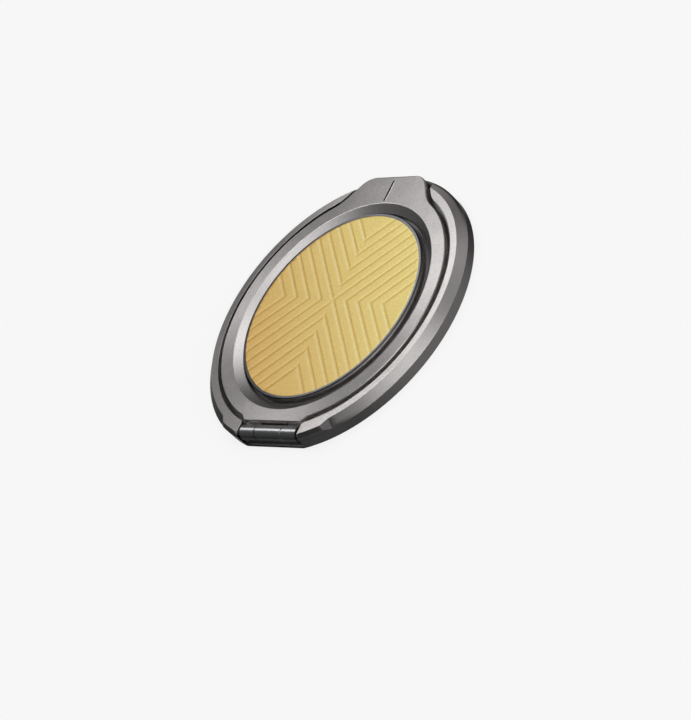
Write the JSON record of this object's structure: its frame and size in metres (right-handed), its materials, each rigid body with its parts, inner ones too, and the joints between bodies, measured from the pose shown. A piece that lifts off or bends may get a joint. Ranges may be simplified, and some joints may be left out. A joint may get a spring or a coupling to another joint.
{
  "type": "magnetic phone kickstand",
  "caption": "Round magnetic phone kickstand: a bevelled metal base with a chevron-grooved inlay and a folding finger ring that swings out on a friction hinge.",
  "frame": {"origin": "centre of the round back face, on the face of the pad that lies on the phone", "axes": "+Z out of the front, +Y from the hinge towards the lifting tab, +X along the hinge pin"},
  "size_m": [0.059, 0.0579, 0.0038],
  "materials": {
    "gunmetal": "fine bead-blasted gunmetal grey",
    "hinge_steel": "polished dark steel",
    "washer_plastic": "plain moulded, dark",
    "rivet_steel": "plain drawn, dark",
    "inlay_leather": "fine-grained golden leatherette with pressed grooves",
    "adhesive_film": "clear pressure-sensitive film",
    "plate_plastic": "fine moulded texture",
    "pad_rubber": "soft matt, slightly tacky",
    "shunt_steel": "thin rolled strip",
    "magnet_nickel": "bright nickel plating"
  },
  "bodies": {
    "base": {"base_frame": "gunmetal", "hinge_block": "hinge_steel", "friction_washer_left": "washer_plastic", "friction_washer_right": "washer_plastic", "hinge_rivet_left": "rivet_steel", "hinge_rivet_right": "rivet_steel", "inlay_disc": "inlay_leather", "inlay_adhesive": "adhesive_film", "back_plate": "plate_plastic", "back_pad": "pad_rubber", "shunt_ring": "shunt_steel", "magnet_01": "magnet_nickel", "magnet_02": "magnet_nickel", "magnet_03": "magnet_nickel", "magnet_04": "magnet_nickel", "magnet_05": "magnet_nickel", "magnet_06": "magnet_nickel", "magnet_07": "magnet_nickel", "magnet_08": "magnet_nickel", "magnet_09": "magnet_nickel", "magnet_10": "magnet_nickel", "magnet_11": "magnet_nickel", "magnet_12": "magnet_nickel", "magnet_13": "magnet_nickel", "magnet_14": "magnet_nickel", "magnet_15": "magnet_nickel", "magnet_16": "magnet_nickel", "magnet_17": "magnet_nickel", "magnet_18": "magnet_nickel"},
    "stand": {"stand_ring": "gunmetal", "hinge_pin": "hinge_steel"}
  },
  "joints": [
    {"name": "stand_hinge", "type": "hinge", "parent": "base", "child": "stand", "pos_m": [0, -0.0268, 0.00215], "axis": [1, 0, 0], "range_deg": [0, 175]}
  ]
}
